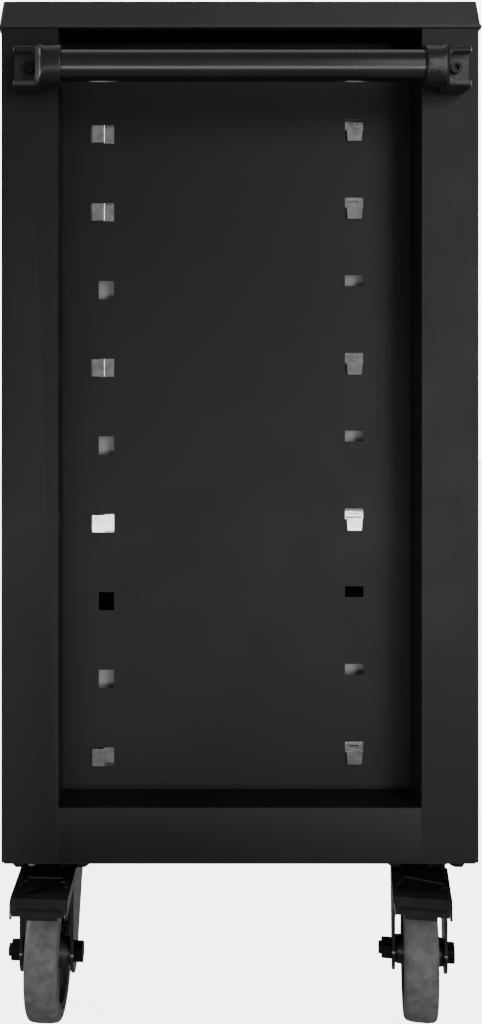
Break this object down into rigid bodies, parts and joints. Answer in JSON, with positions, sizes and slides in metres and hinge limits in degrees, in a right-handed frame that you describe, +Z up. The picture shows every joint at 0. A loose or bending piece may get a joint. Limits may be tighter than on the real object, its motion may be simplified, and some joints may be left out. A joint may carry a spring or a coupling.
{
  "type": "rolling tool chest",
  "caption": "Rolling tool chest with drawers on ball slides, slotted side recesses, a push handle, a central lock, fixed castors and braked swivel castors.",
  "frame": {"origin": "on the floor, under the middle of the whole chest including its push handle", "axes": "+Z up, -Y out of the drawer fronts, +X towards the push handle"},
  "size_m": [0.734, 0.467, 0.988],
  "materials": {
    "cabinet_paint": "black semi-gloss powder coat on folded steel",
    "front_paint": "black semi-gloss powder coat",
    "worktop": "moulded charcoal worktop, satin",
    "mat_rubber": "ribbed black rubber",
    "tube_paint": "gloss black tube",
    "bracket_cast": "black coated casting",
    "zinc_screw": "dark zinc plated",
    "slide_zinc": "bright zinc plated",
    "drawer_grey": "light grey powder coat",
    "lock_chrome": "nickel plated",
    "lock_zinc": "zinc plated",
    "castor_black": "black pressed steel",
    "wheel_core": "black moulded nylon",
    "tyre": "dark grey rubber"
  },
  "bodies": {
    "cabinet": {"front_left_post": "cabinet_paint", "front_right_post": "cabinet_paint", "rear_left_post": "cabinet_paint", "rear_right_post": "cabinet_paint", "left_side_panel": "cabinet_paint", "right_side_panel": "cabinet_paint", "back_panel": "cabinet_paint", "base_pan": "cabinet_paint", "front_bottom_rail": "cabinet_paint", "front_top_rail": "cabinet_paint", "worktop": "worktop", "top_mat": "mat_rubber", "handle_tube": "tube_paint", "handle_bracket_front": "bracket_cast", "handle_bracket_rear": "bracket_cast", "handle_screws": "zinc_screw", "left_cabinet_rails": "slide_zinc", "right_cabinet_rails": "slide_zinc", "lock_housing": "lock_chrome", "castor_bolts": "zinc_screw", "swivel_plates": "castor_black", "fixed_castor_brackets": "castor_black", "fixed_axles": "zinc_screw"},
    "drawer_1": {"drawer_1_box": "drawer_grey", "drawer_1_front": "front_paint", "drawer_1_runners": "slide_zinc"},
    "middle_rails_1": {"drawer_1_middle_rails": "slide_zinc"},
    "drawer_2": {"drawer_2_box": "drawer_grey", "drawer_2_front": "front_paint", "drawer_2_runners": "slide_zinc"},
    "middle_rails_2": {"drawer_2_middle_rails": "slide_zinc"},
    "drawer_3": {"drawer_3_box": "drawer_grey", "drawer_3_front": "front_paint", "drawer_3_runners": "slide_zinc"},
    "middle_rails_3": {"drawer_3_middle_rails": "slide_zinc"},
    "drawer_4": {"drawer_4_box": "drawer_grey", "drawer_4_front": "front_paint", "drawer_4_runners": "slide_zinc"},
    "middle_rails_4": {"drawer_4_middle_rails": "slide_zinc"},
    "drawer_5": {"drawer_5_box": "drawer_grey", "drawer_5_front": "front_paint", "drawer_5_runners": "slide_zinc"},
    "middle_rails_5": {"drawer_5_middle_rails": "slide_zinc"},
    "lock": {"lock_plug": "lock_chrome", "lock_rod": "lock_zinc"},
    "lock_bar": {"lock_bar": "lock_zinc"},
    "swivel_front": {"swivel_fork_front": "castor_black", "swivel_axle_front": "zinc_screw"},
    "brake_front": {"brake_pedal_front": "castor_black"},
    "swivel_wheel_front": {"swivel_wheel_core_front": "wheel_core", "swivel_tyre_front": "tyre"},
    "fixed_wheel_front": {"fixed_wheel_core_front": "wheel_core", "fixed_tyre_front": "tyre"},
    "swivel_rear": {"swivel_fork_rear": "castor_black", "swivel_axle_rear": "zinc_screw"},
    "brake_rear": {"brake_pedal_rear": "castor_black"},
    "swivel_wheel_rear": {"swivel_wheel_core_rear": "wheel_core", "swivel_tyre_rear": "tyre"},
    "fixed_wheel_rear": {"fixed_wheel_core_rear": "wheel_core", "fixed_tyre_rear": "tyre"}
  },
  "joints": [
    {"name": "drawer_1_slide", "type": "slide", "parent": "cabinet", "child": "drawer_1", "axis": [0, -1, 0], "range_m": [0, 0.38]},
    {"name": "middle_rails_1_slide", "type": "slide", "parent": "cabinet", "child": "middle_rails_1", "axis": [0, -1, 0], "range_m": [0, 0.19]},
    {"name": "drawer_2_slide", "type": "slide", "parent": "cabinet", "child": "drawer_2", "axis": [0, -1, 0], "range_m": [0, 0.38]},
    {"name": "middle_rails_2_slide", "type": "slide", "parent": "cabinet", "child": "middle_rails_2", "axis": [0, -1, 0], "range_m": [0, 0.19]},
    {"name": "drawer_3_slide", "type": "slide", "parent": "cabinet", "child": "drawer_3", "axis": [0, -1, 0], "range_m": [0, 0.38]},
    {"name": "middle_rails_3_slide", "type": "slide", "parent": "cabinet", "child": "middle_rails_3", "axis": [0, -1, 0], "range_m": [0, 0.19]},
    {"name": "drawer_4_slide", "type": "slide", "parent": "cabinet", "child": "drawer_4", "axis": [0, -1, 0], "range_m": [0, 0.38]},
    {"name": "middle_rails_4_slide", "type": "slide", "parent": "cabinet", "child": "middle_rails_4", "axis": [0, -1, 0], "range_m": [0, 0.19]},
    {"name": "drawer_5_slide", "type": "slide", "parent": "cabinet", "child": "drawer_5", "axis": [0, -1, 0], "range_m": [0, 0.38]},
    {"name": "middle_rails_5_slide", "type": "slide", "parent": "cabinet", "child": "middle_rails_5", "axis": [0, -1, 0], "range_m": [0, 0.19]},
    {"name": "lock_turn", "type": "hinge", "parent": "cabinet", "child": "lock", "pos_m": [0.216, -0.23, 0.941], "axis": [0, 1, 0], "range_deg": [0, 90]},
    {"name": "lock_bar_lift", "type": "slide", "parent": "cabinet", "child": "lock_bar", "axis": [0, 0, 1], "range_m": [0, 0.01131]},
    {"name": "castor_swivel_front", "type": "hinge", "parent": "cabinet", "child": "swivel_front", "pos_m": [0.256, -0.184, 0.14], "axis": [0, 0, 1], "continuous": true},
    {"name": "swivel_wheel_spin_front", "type": "hinge", "parent": "swivel_front", "child": "swivel_wheel_front", "pos_m": [0.29395, -0.18599, 0.0625], "axis": [0.0523, 0.9986, 0], "continuous": true},
    {"name": "fixed_wheel_spin_front", "type": "hinge", "parent": "cabinet", "child": "fixed_wheel_front", "pos_m": [-0.304, -0.184, 0.0625], "axis": [0, 1, 0], "continuous": true},
    {"name": "brake_press_front", "type": "hinge", "parent": "swivel_front", "child": "brake_front", "pos_m": [0.30094, -0.18636, 0.133], "axis": [0.0523, 0.9986, 0], "range_deg": [0, 8]},
    {"name": "castor_swivel_rear", "type": "hinge", "parent": "cabinet", "child": "swivel_rear", "pos_m": [0.256, 0.184, 0.14], "axis": [0, 0, 1], "continuous": true},
    {"name": "swivel_wheel_spin_rear", "type": "hinge", "parent": "swivel_rear", "child": "swivel_wheel_rear", "pos_m": [0.29342, 0.1774, 0.0625], "axis": [0.1736, 0.9848, 0], "continuous": true},
    {"name": "fixed_wheel_spin_rear", "type": "hinge", "parent": "cabinet", "child": "fixed_wheel_rear", "pos_m": [-0.304, 0.184, 0.0625], "axis": [0, 1, 0], "continuous": true},
    {"name": "brake_press_rear", "type": "hinge", "parent": "swivel_rear", "child": "brake_rear", "pos_m": [0.30032, 0.17619, 0.133], "axis": [0.1736, 0.9848, 0], "range_deg": [0, 8]}
  ],
  "couplings": [
    {"joint": "middle_rails_1_slide", "follows": "drawer_1_slide", "ratio": 0.5},
    {"joint": "middle_rails_2_slide", "follows": "drawer_2_slide", "ratio": 0.5},
    {"joint": "middle_rails_3_slide", "follows": "drawer_3_slide", "ratio": 0.5},
    {"joint": "middle_rails_4_slide", "follows": "drawer_4_slide", "ratio": 0.5},
    {"joint": "middle_rails_5_slide", "follows": "drawer_5_slide", "ratio": 0.5},
    {"joint": "lock_turn", "follows": "lock_bar_lift", "rad_per_m": 138.83}
  ]
}
